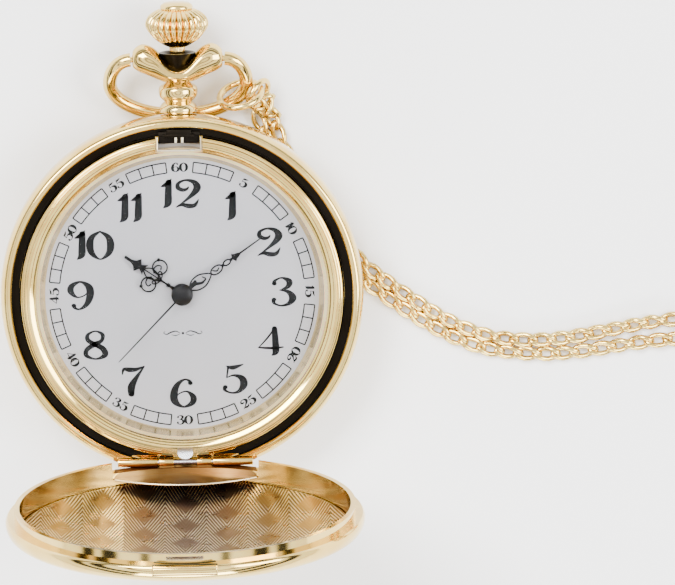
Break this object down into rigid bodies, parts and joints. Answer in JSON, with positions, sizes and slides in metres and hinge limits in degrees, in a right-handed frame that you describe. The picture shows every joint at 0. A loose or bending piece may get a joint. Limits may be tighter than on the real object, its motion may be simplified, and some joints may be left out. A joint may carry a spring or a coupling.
{
  "type": "pocket watch",
  "caption": "Gold-plated hunter pocket watch with an open engraved lid, fluted crown, swinging bow and a long neck chain laid out and coiled.",
  "frame": {"origin": "centre of the case back, on the surface that the watch lies on", "axes": "+Z out of the dial, +Y towards 12 o'clock and the crown, -Y towards the lid's hinge, +X towards 3 o'clock"},
  "size_m": [0.1342, 0.0693, 0.0549],
  "materials": {
    "gold": "gloss",
    "lining_gold": "satin",
    "steel": "satin",
    "train_brass": "satin",
    "dial_enamel": "satin",
    "hand_black": "gloss",
    "crystal_glass": "gloss",
    "movement_plastic": "matte",
    "copper": "satin",
    "board": "matte"
  },
  "bodies": {
    "case": {"case_middle": "gold", "case_back": "gold", "pendant": "gold", "bezel": "gold", "crystal": "crystal_glass", "dial": "dial_enamel", "dial_ring": "gold", "hinge_pin": "steel", "movement_ring": "movement_plastic", "main_plate": "steel", "train_bridge": "steel", "bridge_screw_1": "steel", "bridge_screw_2": "steel", "bridge_screw_3": "steel", "bridge_screw_4": "steel", "circuit_board": "board", "coil": "copper", "stator": "steel", "battery": "steel", "battery_clamp": "steel", "quartz_can": "steel", "chain_strand_a": "gold", "chain_strand_b": "gold", "chain_coil": "gold", "clasp_body": "gold", "clasp_ring": "gold"},
    "lid": {"lid_shell": "gold", "lid_lining": "lining_gold"},
    "lid_lifter": {"lift_spring": "steel"},
    "catch": {"catch_spring": "steel"},
    "bow": {"bow": "gold"},
    "bow_links": {"bow_ring": "gold", "link_ring": "gold"},
    "clasp_gate": {"clasp_lever": "gold"},
    "clutch": {"clutch_pinion": "steel"},
    "crown_stem": {"stem": "steel", "crown": "gold"},
    "lever": {"setting_lever": "steel"},
    "rotor": {"rotor": "steel"},
    "intermediate": {"intermediate_wheel": "train_brass"},
    "seconds": {"seconds_wheel": "train_brass", "second_hand": "hand_black"},
    "third": {"third_wheel": "train_brass"},
    "minutes": {"centre_wheel": "train_brass", "cannon_pinion": "steel", "minute_hand": "hand_black"},
    "motion_work": {"minute_wheel": "train_brass"},
    "hours": {"hour_wheel": "train_brass", "hour_hand": "hand_black"}
  },
  "joints": [
    {"name": "lid_hinge", "type": "hinge", "parent": "case", "child": "lid", "pos_m": [0, -0.0218, 0.0096], "axis": [1, 0, 0], "range_deg": [-97.5, 0]},
    {"name": "lid_lifter_flex", "type": "hinge", "parent": "case", "child": "lid_lifter", "pos_m": [0, -0.0199, 0.00855], "axis": [1, 0, 0], "range_deg": [0, 8]},
    {"name": "catch_slide", "type": "slide", "parent": "case", "child": "catch", "axis": [0, -1, 0], "range_m": [0, 0.00048], "stiffness_N_per_m": 400},
    {"name": "bow_swing", "type": "hinge", "parent": "case", "child": "bow", "pos_m": [0, 0.0306, 0.006], "axis": [1, 0, 0], "range_deg": [0, 288]},
    {"name": "bow_ring_swing", "type": "hinge", "parent": "bow", "child": "bow_links", "pos_m": [0.00842, 0.02585, 0.00363], "axis": [-0.4999, -0.7751, -0.3864], "range_deg": [-10, 10]},
    {"name": "clasp_gate_hinge", "type": "hinge", "parent": "case", "child": "clasp_gate", "pos_m": [0.09185, 0.01242, 0.0015], "axis": [0, 0, 1], "range_deg": [-22, 0], "stiffness_Nm_per_rad": 0.002},
    {"name": "crown_turn", "type": "hinge", "parent": "case", "child": "clutch", "pos_m": [0, 0.0098, 0.006], "axis": [0, 1, 0], "continuous": true},
    {"name": "crown_pull", "type": "slide", "parent": "clutch", "child": "crown_stem", "axis": [0, 1, 0], "range_m": [-0.0006, 0.001]},
    {"name": "setting_lever_turn", "type": "hinge", "parent": "case", "child": "lever", "pos_m": [0.0039, 0.0093, 0.007], "axis": [0, 0, 1], "range_deg": [-16, 9.6]},
    {"name": "seconds_turn", "type": "hinge", "parent": "case", "child": "seconds", "pos_m": [0, 0, 0.004], "axis": [0, 0, -1], "continuous": true},
    {"name": "rotor_turn", "type": "hinge", "parent": "case", "child": "rotor", "pos_m": [0.00492, -0.00284, 0.004], "axis": [0, 0, -1], "continuous": true},
    {"name": "intermediate_turn", "type": "hinge", "parent": "case", "child": "intermediate", "pos_m": [0.00249, -0.00144, 0.004], "axis": [0, 0, -1], "continuous": true},
    {"name": "third_turn", "type": "hinge", "parent": "case", "child": "third", "pos_m": [-0.00374, 0.00216, 0.004], "axis": [0, 0, -1], "continuous": true},
    {"name": "minutes_turn", "type": "hinge", "parent": "case", "child": "minutes", "pos_m": [0, 0, 0.006], "axis": [0, 0, -1], "continuous": true},
    {"name": "motion_work_turn", "type": "hinge", "parent": "case", "child": "motion_work", "pos_m": [0, -0.00336, 0.006], "axis": [0, 0, -1], "continuous": true},
    {"name": "hours_turn", "type": "hinge", "parent": "case", "child": "hours", "pos_m": [0, 0, 0.0065], "axis": [0, 0, -1], "continuous": true}
  ],
  "couplings": [
    {"joint": "lid_lifter_flex", "follows": "lid_hinge", "ratio": -0.082},
    {"joint": "setting_lever_turn", "follows": "crown_pull", "rad_per_m": -277.78},
    {"joint": "rotor_turn", "follows": "seconds_turn", "ratio": 30},
    {"joint": "intermediate_turn", "follows": "seconds_turn", "ratio": -5},
    {"joint": "third_turn", "follows": "seconds_turn", "ratio": -0.13333},
    {"joint": "minutes_turn", "follows": "seconds_turn", "ratio": 0.016667},
    {"joint": "motion_work_turn", "follows": "seconds_turn", "ratio": -0.0055556},
    {"joint": "hours_turn", "follows": "seconds_turn", "ratio": 0.0013889}
  ]
}
